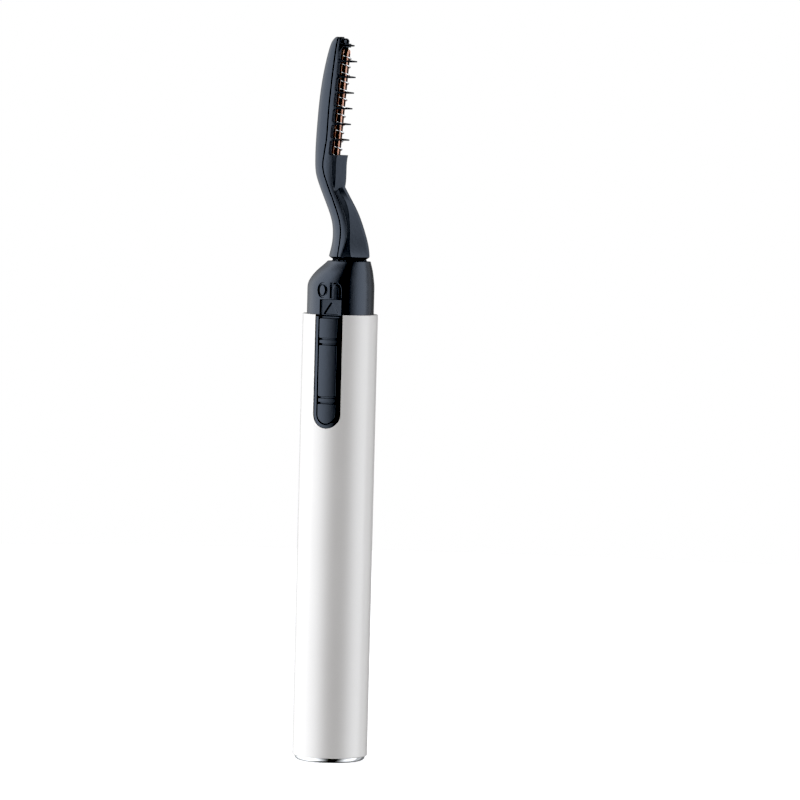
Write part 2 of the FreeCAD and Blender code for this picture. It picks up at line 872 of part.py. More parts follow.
def make_return_strip():
    """The long strip that brings the cell's negative side up to the head."""
    subpart(block("return_strip", ("-dims.tab_half_width", "dims.tab_half_width"),
                  ("dims.tab_reach + 0.05", "dims.tab_reach + 0.05 + dims.metal_thickness"),
                  ("dims.seat_top + 0.02", "dims.carrier_top - 1")))


def make_switch_board():
    subpart(block("switch_board", ("-dims.board_half_width", "dims.board_half_width"),
                  ("-dims.board_face", "-dims.board_back"), ("dims.board_foot", "dims.board_top")))


def make_contact_strip(name, side, foot, top):
    """A flat contact on the board's face, on one side of its middle."""
    low, high = ("dims.strip_inner", "dims.strip_outer") if side > 0 else (
        "-dims.strip_outer", "-dims.strip_inner")
    subpart(block(name, (low, high), ("-dims.board_face - dims.metal_thickness", "-dims.board_face - 0.02"),
                  (foot, top)))


def lead_points(side):
    """The head's wire line, moved to one side of the middle plane."""
    return [Vector(x, side * dim("lead_spread"), z) for x, z in WIRE_LINE]


def make_leads():
    """Two insulated wires from the switch and the return strip, through the neck, to the heater."""
    for name, side, start in (("live_lead", -1, LIVE_LEAD_START), ("return_lead", 1, RETURN_LEAD_START)):
        route = rounded_route([Vector(*point) for point in start] + lead_points(side))
        subpart(shaped(name, tube_along(route, dim("lead_radius"))))


def comb_placement():
    """The comb's own frame: Z runs up the heater, which leans towards +X."""
    foot = Vector(dim("comb_foot_x"), 0, dim("comb_foot_z"))
    return FreeCAD.Placement(foot, FreeCAD.Rotation(Y_AXIS, dim("comb_lean")))


def make_heater_terminals():
    """Two half-round brass pads under the core, one for each lead and its side of the strands."""
    thick = dim("terminal_thickness")
    disc = Part.makeCylinder(dim("terminal_radius"), thick, Vector(0, 0, -thick - 0.04))
    made = shaped("heater_terminals", disc.cut(Part.makeBox(4, 0.3, 4, Vector(-2, -0.15, -2))))
    made.Placement = comb_placement()
    subpart(made)


def strand_places():
    """Where the front and back strands run: distance in front of the core's axis, and to each side."""
    places = []
    for alias in ("front_strand_angle", "back_strand_angle"):
        angle = math.radians(dim(alias))
        places.append((dim("strand_orbit") * math.cos(angle), dim("strand_orbit") * math.sin(angle)))
    return places


def make_heater_core():
    """A dark rod, grooved for the four strands, with a flat tongue that fits in the comb's end wall."""
    length = dim("core_length")
    rod = Part.makeCylinder(dim("core_radius"), length)
    back, front, half = dim("tongue_back"), dim("tongue_front"), dim("tongue_half")
    tongue = Part.makeBox(front - back, 2 * half, dim("tongue_length") + 1, Vector(back, -half, length - 1))
    grooves = []
    for x, y in strand_places():
        for side in (-1, 1):
            foot = Vector(x, side * y, -1)
            grooves.append(Part.makeCylinder(dim("strand_radius") + 0.02, length + 2, foot))
    made = shaped("heater_core", rod.cut(grooves).fuse(tongue))
    made.Placement = comb_placement()
    subpart(made)


def hairpin(x, y):
    """A copper strand up one side of the core, in an arch over its end and down the other side."""
    foot, top = dim("strand_foot"), dim("strand_top")
    rise = Part.LineSegment(Vector(x, -y, foot), Vector(x, -y, top)).toShape()
    arch = Part.Arc(Vector(x, -y, top), Vector(x, 0, top + y), Vector(x, y, top)).toShape()
    fall = Part.LineSegment(Vector(x, y, top), Vector(x, y, foot)).toShape()
    return tube_along(Part.Wire([rise, arch, fall]), dim("strand_radius"))


def make_heater_strands():
    made = shaped("heater_strands", Part.makeCompound([hairpin(x, y) for x, y in strand_places()]))
    made.Placement = comb_placement()
    subpart(made)


def make_heater_winding():
    """A bright resistance wire wound left-handed round the core and strands."""
    coil = coil_shape(dim("winding_orbit"), dim("winding_radius"), dim("winding_pitch"),
                      dim("winding_height"), left_handed=True)
    made = shaped("heater_winding", coil)
    made.Placement = comb_placement().multiply(
        FreeCAD.Placement(Vector(0, 0, dim("winding_foot")), FreeCAD.Rotation()))
    subpart(made)


# ---------------------------------------------------------------- switch


def make_switch_slider():
    """A long thumb slide with three lands and two grip grooves, and a stem into the carrier."""
    blank_outline = slot_shape("slider_outline", "dims.slider_half_width", "dims.slider_end_centre",
                               "dims.slider_top", ("-9", "-dims.slider_base"))
    limit = primitive("Cylinder", "slider_limit", Radius="dims.slider_radius", Height="100")
    blank = shared("slider_blank", blank_outline, limit)
    inner = primitive("Cylinder", "groove_floor", Radius="dims.slider_radius - dims.groove_depth",
                      Height="100")
    cuts = []
    ribs = []
    for name in ("upper_groove", "lower_groove"):
        foot = "dims." + name
        across = ("-3", "3")
        band = block(name + "_band", across, ("-9", "-5"), (foot, foot + " + dims.groove_height"))
        cuts.append(removed(name, band, inner))
        middle = "%s + dims.groove_height / 2" % foot
        rib = block(name + "_rib", ("-dims.slider_half_width + 0.25", "dims.slider_half_width - 0.25"),
                    ("-9", "-dims.slider_base - 0.2"),
                    (middle + " - dims.grip_height / 2", middle + " + dims.grip_height / 2"))
        rib_limit = primitive("Cylinder", name + "_rib_limit", Height="100",
                              Radius="dims.slider_radius - 0.15")
        ribs.append(shared(name + "_grip", rib, rib_limit))
    plate = removed("slider_plate", blank, *cuts)
    stem = block("slider_stem", ("-dims.stem_half_width", "dims.stem_half_width"),
                 ("-dims.slider_base - 0.5", "-dims.stem_reach"),
                 ("dims.stem_foot", "dims.stem_foot + dims.stem_height"))
    subpart(joined("switch_slider", plate, stem, *ribs))


def make_bridge_contact():
    """A springy bridge on the slider's stem that joins the two contact strips when it is up."""
    bridge = body("bridge_contact")
    profile = sketch_on(bridge, "bridge_profile", "XY_Plane", "dims.stem_foot + 0.2")
    top = "-dims.stem_reach + 0.02"
    thick = "dims.metal_thickness"
    foot = "-dims.board_face - dims.metal_thickness - 0.05"
    outline(profile, (
        ("-1.1", top),
        ("1.1", top),
        ("2.0", foot + " - " + thick),
        ("2.5", foot + " - " + thick),
        ("2.5", foot),
        ("1.8", foot),
        ("0.95", top + " + " + thick),
        ("-0.95", top + " + " + thick),
        ("-1.8", foot),
        ("-2.5", foot),
        ("-2.5", foot + " - " + thick),
        ("-2.0", foot + " - " + thick),
    ))
    pad = bridge.newObject("PartDesign::Pad", "bridge_pad")
    pad.Profile = profile
    pad.setExpression("Length", "dims.stem_height - 0.4")
    subpart(bridge)


# ---------------------------------------------------------------- neck collar


def letter_faces():
    """The two lower-case letters over the switch, as flat faces in the XZ plane."""
    stroke = dim("letter_stroke")
    height = dim("letter_height")
    foot = dim("letter_foot")

    def oval(x, half_width, half_height):
        flat = Part.Ellipse(Vector(), half_height, half_width).toShape()
        face = Part.Face(Part.Wire([flat]))
        face.rotate(Vector(), Z_AXIS, 90)
        face.rotate(Vector(), Vector(1, 0, 0), 90)
        face.translate(Vector(x, 0, foot + height / 2))
        return face

    def bar(left, right, low, high):
        corners = [Vector(left, 0, low), Vector(right, 0, low), Vector(right, 0, high), Vector(left, 0, high)]
        return Part.Face(Part.makePolygon(corners + corners[:1]))

    o_middle = -1.75
    letter_o = oval(o_middle, 1.15, height / 2).cut(oval(o_middle, 1.15 - stroke, height / 2 - stroke))
    left, right = 0.02, 2.26
    arch = oval((left + right) / 2, (right - left) / 2, height / 2)
    arch = arch.cut(oval((left + right) / 2, (right - left) / 2 - stroke, height / 2 - stroke))
    arch = arch.common(bar(left, right, foot + height / 2, foot + height))
    letter_n = arch.fuse([bar(left, left + stroke, foot, foot + height),
                          bar(right - stroke, right, foot, foot + height / 2)])
    return [letter_o, letter_n]


def engraving():
    """Cutters for the letters on the collar and for the arrow on the channel's floor."""
    reach = dim("collar_radius") + 1
    prisms = []
    for face in letter_faces():
        low = face.copy()
        low.translate(Vector(0, -reach, 0))
        prisms.append(low.extrude(Vector(0, reach - 3, 0)))
    core = Part.makeCylinder(dim("collar_radius") - dim("letter_depth"), 100)
    letters = [prism.cut(core) for prism in prisms]

    front, foot = -dim("mark_floor") - 0.1, dim("slider_top") + 0.75
    corners = [Vector(-1.6, front, foot), Vector(1.6, front, foot), Vector(0, front, foot + 2.45)]
    arrow = Part.Face(Part.makePolygon(corners + corners[:1]))
    arrow = arrow.extrude(Vector(0, dim("mark_depth") + 0.1, 0))
    return Part.makeCompound(letters + [arrow])


def make_neck_collar():
    straight = primitive("Cylinder", "collar_straight", Radius="dims.collar_radius",
                         Height="dims.collar_straight_top - dims.collar_foot", z="dims.collar_foot")
    shoulder = loft("collar_shoulder", "collar", COLLAR_STATIONS)
    solid = joined("collar_solid", straight, shoulder)
    cavity = primitive("Cylinder", "collar_cavity_cut", Radius="dims.collar_cavity",
                       Height="dims.cavity_top - dims.collar_foot + 1", z="dims.collar_foot - 1")
    passage = primitive("Cylinder", "wire_passage", Radius="dims.wire_hole", x="dims.head_offset",
                        Height="dims.collar_top - dims.cavity_top + 2", z="dims.cavity_top - 1")
    socket = primitive("Cylinder", "head_socket", Radius="dims.spigot_radius + 0.04",
                       x="dims.head_offset", z="dims.spigot_foot - 0.1",
                       Height="dims.collar_top - dims.spigot_foot + 1")
    notch = block("tongue_notch", ("-dims.tongue_half_width - 0.06", "dims.tongue_half_width + 0.06"),
                  ("-9", "-dims.tongue_root + 0.1"), ("dims.collar_foot - 1", "dims.notch_top"))
    channel = block("collar_channel", ("-dims.channel_half_width", "dims.channel_half_width"),
                    ("-9", "-dims.mark_floor"), ("dims.notch_top - 0.5", "dims.channel_top"))
    cutters = shaped("collar_engraving", engraving())
    subpart(removed("neck_collar", solid, cavity, passage, socket, notch, channel, cutters))


# ---------------------------------------------------------------- comb head


def side_curve(points, shift=0.0):
    """A smooth curve in the XZ plane."""
    curve = Part.BSplineCurve()
    curve.interpolate([Vector(x + shift, 0, z) for x, z in points])
    return curve.toShape()


def side_prism(edges, half_width=8.0):
    """A closed side view, extruded to both sides of the middle plane."""
    face = Part.Face(Part.Wire(edges))
    face.translate(Vector(0, -half_width, 0))
    return face.extrude(Vector(0, 2 * half_width, 0))


def polyline(points):
    corners = [Vector(x, 0, z) for x, z in points]
    return [Part.LineSegment(a, b).toShape() for a, b in zip(corners, corners[1:])]


def behind_parting():
    """The space on the -X side of the parting line."""
    shift = -dim("parting_gap")
    low = (PARTING_LINE[0][0] + shift, PARTING_LINE[0][1])
    high = (PARTING_LINE[-1][0] + shift, PARTING_LINE[-1][1])
    return side_prism([side_curve(PARTING_LINE, shift)]
                      + polyline((high, (-12, high[1]), (-12, low[1]), low)))


def before_parting():
    """The space on the +X side of the parting line."""
    shift = dim("parting_gap")
    low = (PARTING_LINE[0][0] + shift, PARTING_LINE[0][1])
    high = (PARTING_LINE[-1][0] + shift, PARTING_LINE[-1][1])
    return side_prism([side_curve(PARTING_LINE, shift)]
                      + polyline((high, (12, high[1]), (12, low[1]), low)))


def behind_rail_line():
    """The space on the -X side of the rails' front edge, and all the space above it."""
    foot = RAIL_LINE[-1]
    top = RAIL_LINE[0]
    return side_prism([side_curve(RAIL_LINE)]
                      + polyline((foot, (-12, foot[1]), (-12, 151), (12, 151), (12, top[1]), top)))


def flange_limit():
    """Bevels the flange under the head."""
    radius = dim("head_radius")
    place = Vector(dim("head_offset"), 0, dim("head_foot"))
    bevel = Part.makeCone(radius - 0.6, radius + 0.15, 0.6, place)
    above = Part.makeBox(24, 24, 60, Vector(-12, -12, dim("head_foot") + 0.6))
    return bevel.fuse(above)


def wire_channel():
    """A flat channel for the two leads, along the head's wire line."""
    points = [Vector(x, 0, z) for x, z in WIRE_LINE]
    points[0] = points[0] - Vector(0, 0, 1)
    route = rounded_route(points)
    half_x, half_y = 0.55, dim("lead_spread") + 0.5
    start = points[0]
    corners = [start + Vector(sx * half_x, sy * half_y, 0) for sx, sy in ((-1, -1), (1, -1), (1, 1), (-1, 1))]
    return route.makePipeShell([Part.makePolygon(corners + corners[:1])], True, True)


def in_comb_frame(shape):
    shape.Placement = comb_placement().multiply(shape.Placement)
    return shape


def make_teeth():
    """Two rows of blades beside the heater, each tapering from the rail to its tip."""
    blades = []
    count = int(dim("tooth_count"))
    root = dim("rail_plane") - 0.3
    inner = dim("trough_half_width")
    thick = dim("tooth_root_thickness") / 2
    thin = dim("tooth_tip_thickness") / 2
    droop = FreeCAD.Rotation(Y_AXIS, dim("tooth_droop"))
    for index in range(count):
        tip = dim("last_tooth_tip") if index == count - 1 else dim("tooth_tip")
        level = Vector(0, 0, dim("first_tooth") + index * dim("tooth_pitch"))
        place = FreeCAD.Placement(comb_placement().multVec(level), droop)
        for side in (-1, 1):
            wide = sorted((side * inner, side * (inner + dim("tooth_root_width"))))
            narrow = sorted((side * inner, side * (inner + dim("tooth_tip_width"))))
            # the wedge tapers along its own Y, which is turned to point along +X
            blade = Part.makeWedge(-wide[1], 0, -thick, -thin, -narrow[1],
                                   -wide[0], tip - root, thick, thin, -narrow[0])
            blade.rotate(Vector(), Z_AXIS, -90)
            blade.translate(Vector(root, 0, 0))
            blade.Placement = place.multiply(blade.Placement)
            blades.append(blade)
    return blades


def make_tip():
    """The comb's end: a wall that holds the heater's tongue, and a knob on a short neck."""
    foot = dim("window_top")
    half = dim("end_wall_half")
    back = dim("trough_floor") - 0.2
    depth = dim("end_wall_front") - back
    wall = Part.makeBox(depth, 2 * half, dim("end_wall_thickness"), Vector(back, -half, foot))
    knob_x, knob_z = dim("tip_boss_x"), dim("tip_boss_z")
    knob_half = dim("tip_boss_half")
    knob_end = Vector(knob_x, knob_half, knob_z)
    knob = Part.makeCylinder(dim("tip_boss_radius"), 2 * knob_half, knob_end, -Y_AXIS)
    neck = Part.makeBox(1.2, 2 * knob_half - 0.2, 0.8, Vector(knob_x - 1.2, 0.1 - knob_half, knob_z - 0.4))
    return [in_comb_frame(wall), knob, neck]


def rail_window(low, high):
    """A round-cornered opening in both rails, with a narrower step on the trough's side."""
    def opening(back, half_width, inset):
        box = Part.makeBox(8, 2 * half_width, high - low - 2 * inset, Vector(back, -half_width, low + inset))
        corners = [edge for edge in box.Edges
                   if edge.BoundBox.YLength > half_width and edge.BoundBox.XMax < back + 0.1]
        return box.makeFillet(dim("window_corner"), corners)

    plane = dim("rail_plane")
    ledge = Part.makeBox(20, 2 * dim("ledge_face"), high - low + 2,
                         Vector(plane - 1, -dim("ledge_face"), low - 1))
    outer = opening(plane, 6, 0).cut(ledge)
    return [outer, opening(plane + dim("ledge_reach"), 6, dim("ledge_rise"))]


def heater_windows():
    """The space over and between the rails: a trough, and a stepped window in each tooth gap."""
    foot, top = dim("window_foot"), dim("window_top")
    half = dim("trough_half_width")
    plane = dim("rail_plane")
    over = Part.makeBox(8, 12, top - foot, Vector(plane + dim("web_reach"), -6, foot))
    trough = Part.makeBox(8, 2 * half, top - foot, Vector(dim("trough_floor"), -half, foot))
    spaces = [over, trough]
    low = foot
    for index in range(int(dim("tooth_count"))):
        level = dim("first_tooth") + index * dim("tooth_pitch")
        high = min(level - dim("web_thickness") / 2, top)
        spaces += rail_window(low, high)
        low = level + dim("web_thickness") / 2
    tip_x = dim("tip_boss_x") - dim("tip_boss_radius") + 0.04
    tip_step = Part.makeBox(8, 12, 8, Vector(tip_x, -6, dim("tip_boss_z") - dim("tip_boss_radius") - 0.1))
    return [in_comb_frame(space) for space in spaces] + [tip_step]


def heater_sockets():
    """The bore for the heater's foot and the slot for its tongue."""
    bore = Part.makeCylinder(dim("trough_half_width"), dim("window_foot") + 1.7, Vector(0, 0, -1.6))
    back, front, half = dim("tongue_back"), dim("tongue_front"), dim("tongue_half")
    slot = Part.makeBox(front - back + 0.06, 2 * half + 0.06, 0.7,
                        Vector(back - 0.03, -half - 0.03, dim("window_top") - 0.1))
    return [in_comb_frame(bore), in_comb_frame(slot)]


def make_comb_shells():
    envelope = loft("head_envelope", "head", HEAD_STATIONS).Shape
    keel = keel_loft("keel", len(KEEL_STATIONS))
    boss = keel_loft("boss", len(BOSS_STATIONS))
    limit = flange_limit()
    channel = wire_channel()
    heater_foot_room = in_comb_frame(Part.makeCylinder(dim("trough_half_width"), 4.4, Vector(0, 0, -1.6)))

    back = envelope.common(behind_parting()).common(limit)
    back = back.cut([channel, heater_foot_room])
    subpart(shaped("comb_back_shell", back))

    front_space = before_parting()
    rails = envelope.common(front_space).common(behind_rail_line()).cut(heater_windows())
    lip_top = Part.makeBox(20, 20, dim("lip_level") - dim("head_foot") + 1,
                           Vector(-10, -10, dim("head_foot") - 1))
    nose = keel.fuse([boss, envelope.common(lip_top)]).common(front_space)
    frame = rails.fuse(nose).common(limit)
    spigot = Part.makeCylinder(dim("spigot_radius"), dim("head_foot") - dim("spigot_foot") + 0.2,
                               Vector(dim("head_offset"), 0, dim("spigot_foot")))
    spigot = spigot.cut(behind_parting().common(limit))
    pin_place = Vector(dim("tip_boss_x"), 3, dim("tip_boss_z"))
    pin_hole = Part.makeCylinder(dim("tip_pin_radius") + 0.02, 8, pin_place, -Y_AXIS)
    recess = Part.makeCylinder(dim("tip_recess_radius"), 8, pin_place, -Y_AXIS)
    kept_half = dim("tip_boss_half") - dim("tip_recess_depth")
    kept = Part.makeCylinder(3, 2 * kept_half, Vector(pin_place.x, kept_half, pin_place.z), -Y_AXIS)
    pin_hole = pin_hole.fuse(recess.cut(kept))
    frame = frame.fuse([spigot] + make_tip() + make_teeth())
    frame = frame.cut(heater_sockets() + [channel, pin_hole])
    subpart(shaped("comb_front_frame", frame.removeSplitter()))


def make_tip_pin():
    """The round pin through the comb's tip."""
    pin = along_y(primitive("Cylinder", "tip_pin", Radius="dims.tip_pin_radius",
                            Height="2 * dims.tip_pin_half", x="dims.tip_boss_x",
                            y="dims.tip_pin_half", z="dims.tip_boss_z"))
    subpart(pin)


# ---------------------------------------------------------------- check and export


def check_document():
    doc.recompute()
    broken = [made.Label for made in doc.Objects if {"Invalid", "Error"} & set(made.State)]
    if broken:
        raise ValueError("these objects failed: %s" % broken)
    for made in subparts:
        shape = made.Shape
        if shape.isNull() or not shape.isValid() or not shape.Solids:
            raise ValueError("%s has no valid solid" % made.Label)
        print("%-18s solids %d  volume %9.3f  box %s" % (
            made.Label, len(shape.Solids), shape.Volume,
            [round(v, 2) for v in (shape.BoundBox.XMin, shape.BoundBox.YMin, shape.BoundBox.ZMin,
                                   shape.BoundBox.XMax, shape.BoundBox.YMax, shape.BoundBox.ZMax)]))


def main():
    write_sheet()
    make_battery_cap()
    make_cap_rivet()
    make_spring_seat()
    make_seat_contact()
    make_battery_spring()
    make_battery_cell()
    make_battery_label()
    make_barrel_sleeve()
    make_base_insert()
    make_carrier_front()
    make_carrier_back()
    make_carrier_screws()
    make_positive_contact()
    make_return_strip()
    make_switch_board()
    make_contact_strip("live_strip", -1, "dims.board_foot + 0.2", "dims.board_top - 1.5")
    make_contact_strip("heater_strip", 1, "81.5", "dims.board_top - 0.5")
    make_leads()
    make_heater_terminals()
    make_heater_core()
    make_heater_strands()
    make_heater_winding()
    make_switch_slider()
    make_bridge_contact()
    make_neck_collar()
    make_comb_shells()
    make_tip_pin()
    check_document()
    os.makedirs("parts", exist_ok=True)
    for made in subparts:
        made.Shape.exportStep("parts/%s.step" % made.Label)


main()
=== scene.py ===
import json
import math

import bmesh
import bpy
from mathutils import Matrix, Vector


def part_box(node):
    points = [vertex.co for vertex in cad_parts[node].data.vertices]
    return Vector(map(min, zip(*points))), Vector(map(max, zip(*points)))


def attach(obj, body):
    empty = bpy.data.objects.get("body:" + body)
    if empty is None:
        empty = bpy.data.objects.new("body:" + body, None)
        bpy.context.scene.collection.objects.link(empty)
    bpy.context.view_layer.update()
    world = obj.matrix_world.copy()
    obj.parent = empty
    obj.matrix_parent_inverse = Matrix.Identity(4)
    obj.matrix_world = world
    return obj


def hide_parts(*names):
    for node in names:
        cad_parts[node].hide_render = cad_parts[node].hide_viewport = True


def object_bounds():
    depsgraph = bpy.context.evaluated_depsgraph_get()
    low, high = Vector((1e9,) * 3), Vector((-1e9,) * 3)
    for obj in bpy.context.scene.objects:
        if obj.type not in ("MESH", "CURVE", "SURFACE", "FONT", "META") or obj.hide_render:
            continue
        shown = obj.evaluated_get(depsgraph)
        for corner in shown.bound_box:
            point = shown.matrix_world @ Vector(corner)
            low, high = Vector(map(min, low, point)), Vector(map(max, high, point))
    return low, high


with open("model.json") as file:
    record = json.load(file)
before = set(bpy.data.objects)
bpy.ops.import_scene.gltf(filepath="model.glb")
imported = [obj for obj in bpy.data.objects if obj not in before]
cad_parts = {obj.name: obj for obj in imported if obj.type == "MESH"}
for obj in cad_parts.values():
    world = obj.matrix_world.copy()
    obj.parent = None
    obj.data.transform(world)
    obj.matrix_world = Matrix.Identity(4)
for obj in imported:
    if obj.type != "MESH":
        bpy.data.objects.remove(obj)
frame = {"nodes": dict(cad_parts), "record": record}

# Heated eyelash curler: a battery pen with a curved heating comb.
# Metres, in the CAD frame: +Z up the barrel's axis, switch towards -Y, teeth towards +X.

CAD_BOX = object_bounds()
MM = 0.001

# ---------------------------------------------------------------- camera and studio

CAMERA_AZIMUTH = math.radians(18.0)
CAMERA_ELEVATION = math.radians(3.3)
CAMERA_ROLL = math.radians(1.44)
CAMERA_DISTANCE = 1.0724
CAMERA_LENS = 234.0
CAMERA_CLIP = (0.05, 50.0)
SENSOR = 36.0
AIM_HEIGHT = 74.48 * MM
AIM_ASIDE = 12.74 * MM

# Softboxes that stand around the object: start and end in degrees from the camera's side,
# positive to its right, then how soft each edge is, in degrees, and the brightness.
SOFTBOXES = (
    (-139, -30, 60, 60, 1.95),
    (49, 101, 52, 9, 1.80),
    (104, 132, 28, 28, 0.72),
    (-215, -145, 50, 20, 0.30),
)
STUDIO_BASE = 0.003

# The softboxes' cool white, the degrees between the points of the curve that holds the ring's
# brightness, and the curve's room above the brightest box.
STUDIO_TINT = (0.95, 0.975, 1.0)
RING_STEP = 6
RING_HEADROOM = 1.25

# How far up a direction points, from -1 to 1, where the ring fades in and where it fades out.
RING_FADE_IN = (-0.98, -0.75)
RING_FADE_OUT = (0.75, 0.98)

# The linear red, green and blue that the view turns to black, because the photograph's blacks are
# deeper than these lights leave them.
BLACK_POINT = (0.0120, 0.0132, 0.0158)

FLOOR_RADIUS = 0.5
FLOOR_SIDES = 96
FLOOR_GAP = 0.02 * MM
FLOOR_GLOW = 0.65
FLOOR_GREYS = ((0.3, 0.86), (0.7, 0.9))
FLOOR_GRAIN_SCALE = 900


def make_camera():
    data = bpy.data.cameras.new("camera")
    data.lens = CAMERA_LENS
    data.sensor_width = SENSOR
    data.clip_start, data.clip_end = CAMERA_CLIP
    camera = bpy.data.objects.new("camera", data)
    bpy.context.scene.collection.objects.link(camera)
    bpy.context.scene.camera = camera

    back = Vector((
        math.sin(CAMERA_AZIMUTH) * math.cos(CAMERA_ELEVATION),
        -math.cos(CAMERA_AZIMUTH) * math.cos(CAMERA_ELEVATION),
        math.sin(CAMERA_ELEVATION),
    ))
    right = Vector((math.cos(CAMERA_AZIMUTH), math.sin(CAMERA_AZIMUTH), 0))
    up = back.cross(right)
    rolled_right = right * math.cos(CAMERA_ROLL) + up * math.sin(CAMERA_ROLL)
    rolled_up = up * math.cos(CAMERA_ROLL) - right * math.sin(CAMERA_ROLL)
    aim = Vector((0, 0, AIM_HEIGHT)) + rolled_right * AIM_ASIDE
    turn = Matrix((rolled_right, rolled_up, back)).transposed()
    camera.matrix_world = Matrix.Translation(aim + back * CAMERA_DISTANCE) @ turn.to_4x4()


class Nodes:
    """A node tree with short ways to add and join nodes."""

    def __init__(self, tree):
        self.tree = tree

    def add(self, kind, **settings):
        made = self.tree.nodes.new(kind)
        for name, value in settings.items():
            setattr(made, name, value)
        return made

    def put(self, value, socket):
        """Links an output to a socket, or sets the socket to a plain value."""
        if isinstance(value, bpy.types.NodeSocket):
            self.tree.links.new(value, socket)
        else:
            socket.default_value = value

    def math(self, operation, *values):
        made = self.add("ShaderNodeMath", operation=operation)
        for socket, value in zip(made.inputs, values):
            self.put(value, socket)
        return made.outputs[0]

    def vector(self, operation, *values):
        made = self.add("ShaderNodeVectorMath", operation=operation)
        for socket, value in zip(made.inputs, values):
            self.put(value, socket)
        return made.outputs[0]

    def split(self, value):
        """A vector's X, Y and Z."""
        made = self.add("ShaderNodeSeparateXYZ")
        self.put(value, made.inputs[0])
        return made.outputs

    def ramp(self, factor, stops, interpolation="LINEAR"):
        """A colour ramp; each stop is a position and a grey value or a colour."""
        made = self.add("ShaderNodeValToRGB")
        made.color_ramp.interpolation = interpolation
        elements = made.color_ramp.elements
        while len(elements) < len(stops):
            elements.new(0.5)
        for element, (position, value) in zip(elements, sorted(stops)):
            element.position = position
            element.color = (*value, 1) if isinstance(value, tuple) else (value, value, value, 1)
        self.put(factor, made.inputs[0])
        return made.outputs[0]

    def span(self, value, low, high, to_low=0.0, to_high=1.0):
        """value mapped from low..high to to_low..to_high, and held outside."""
        made = self.add("ShaderNodeMapRange", interpolation_type="SMOOTHSTEP")
        for socket, number in zip(made.inputs, (value, low, high, to_low, to_high)):
            self.put(number, socket)
        return made.outputs[0]

    def mix(self, factor, first, second):
        """A colour between two colours."""
        made = self.add("ShaderNodeMix", data_type="RGBA")
        self.put(factor, made.inputs[0])
        for value, socket in ((first, made.inputs[6]), (second, made.inputs[7])):
            self.put((*value, 1) if isinstance(value, tuple) else value, socket)
        return made.outputs[2]


def ease(share):
    """A share held to 0..1, with a soft start and end."""
    share = min(1.0, max(0.0, share))
    return share * share * (3 - 2 * share)


def studio_level(angle):
    """The softboxes' brightness in a direction, in degrees from the camera's side."""
    level = STUDIO_BASE
    for start, end, first_edge, last_edge, brightness in SOFTBOXES:
        turned = (angle - start + 180) % 360 + start - 180
        rise = ease((turned - start) / first_edge + 0.5)
        fall = ease((end - turned) / last_edge + 0.5)
        level += brightness * rise * fall
    return level


def studio_ring(nodes, around):
    """The softboxes' brightness by the angle round the object, in radians from the camera."""
    share = nodes.math("MULTIPLY_ADD", around, 1 / math.tau, 0.5)
    curve = nodes.add("ShaderNodeFloatCurve")
    points = curve.mapping.curves[0].points
    highest = max(box[-1] for box in SOFTBOXES) * RING_HEADROOM
    for step in range(1, 360 // RING_STEP):
        angle = step * RING_STEP - 180
        points.new(step * RING_STEP / 360, studio_level(angle) / highest)
    for end, angle in ((0, -180), (-1, 180)):
        points[end].location[1] = studio_level(angle) / highest
    curve.mapping.update()
    nodes.put(share, curve.inputs["Value"])
    return nodes.math("MULTIPLY", curve.outputs[0], highest)


def make_world():
    """A ring of softboxes for the light, and a white page for what the camera sees itself."""
    world = bpy.data.worlds.new("studio")
    bpy.context.scene.world = world
    world.use_nodes = True
    world.node_tree.nodes.clear()
    nodes = Nodes(world.node_tree)
    direction = nodes.add("ShaderNodeTexCoord").outputs["Generated"]
    turned = nodes.add("ShaderNodeVectorRotate", rotation_type="Z_AXIS")
    nodes.put(direction, turned.inputs["Vector"])
    turned.inputs["Angle"].default_value = -CAMERA_AZIMUTH
    x, y, z = nodes.split(turned.outputs[0])
    ring = studio_ring(nodes, nodes.math("ARCTAN2", x, nodes.math("MULTIPLY", y, -1.0)))
    low_edge = nodes.span(z, *RING_FADE_IN)
    high_edge = nodes.span(z, *RING_FADE_OUT, 1.0, 0.0)
    level = nodes.math("MULTIPLY", ring, nodes.math("MULTIPLY", low_edge, high_edge))
    studio = nodes.add("ShaderNodeBackground")
    nodes.put(level, studio.inputs["Strength"])
    page = nodes.add("ShaderNodeBackground")
    nodes.put((*STUDIO_TINT, 1), studio.inputs["Color"])
    nodes.put((1, 1, 1, 1), page.inputs["Color"])
    seen = nodes.add("ShaderNodeLightPath").outputs["Is Camera Ray"]
    both = nodes.add("ShaderNodeMixShader")
    nodes.put(seen, both.inputs[0])
    nodes.put(studio.outputs[0], both.inputs[1])
    nodes.put(page.outputs[0], both.inputs[2])
    output = nodes.add("ShaderNodeOutputWorld")
    nodes.put(both.outputs[0], output.inputs["Surface"])


def make_floor():
    """A plain pale disc under the object, kept out of its shadows and reflections."""
    mesh = bpy.data.meshes.new("floor")
    shape = bmesh.new()
    bmesh.ops.create_circle(shape, cap_ends=True, radius=FLOOR_RADIUS, segments=FLOOR_SIDES)
    shape.to_mesh(mesh)
    shape.free()
    floor = bpy.data.objects.new("floor", mesh)
    floor.location.z = CAD_BOX[0].z - FLOOR_GAP
    bpy.context.scene.collection.objects.link(floor)
    material, nodes, shader = new_material("floor_white")
    grain = noise(nodes, FLOOR_GRAIN_SCALE, 3.0)
    nodes.put(nodes.ramp(grain, FLOOR_GREYS), shader.inputs["Base Color"])
    shader.inputs["Roughness"].default_value = 0.8
    shader.inputs["Emission Color"].default_value = (1, 1, 1, 1)
    shader.inputs["Emission Strength"].default_value = FLOOR_GLOW
    mesh.materials.append(material)
    floor.visible_diffuse = False
    floor.visible_glossy = False
    floor.visible_shadow = False


# ---------------------------------------------------------------- materials

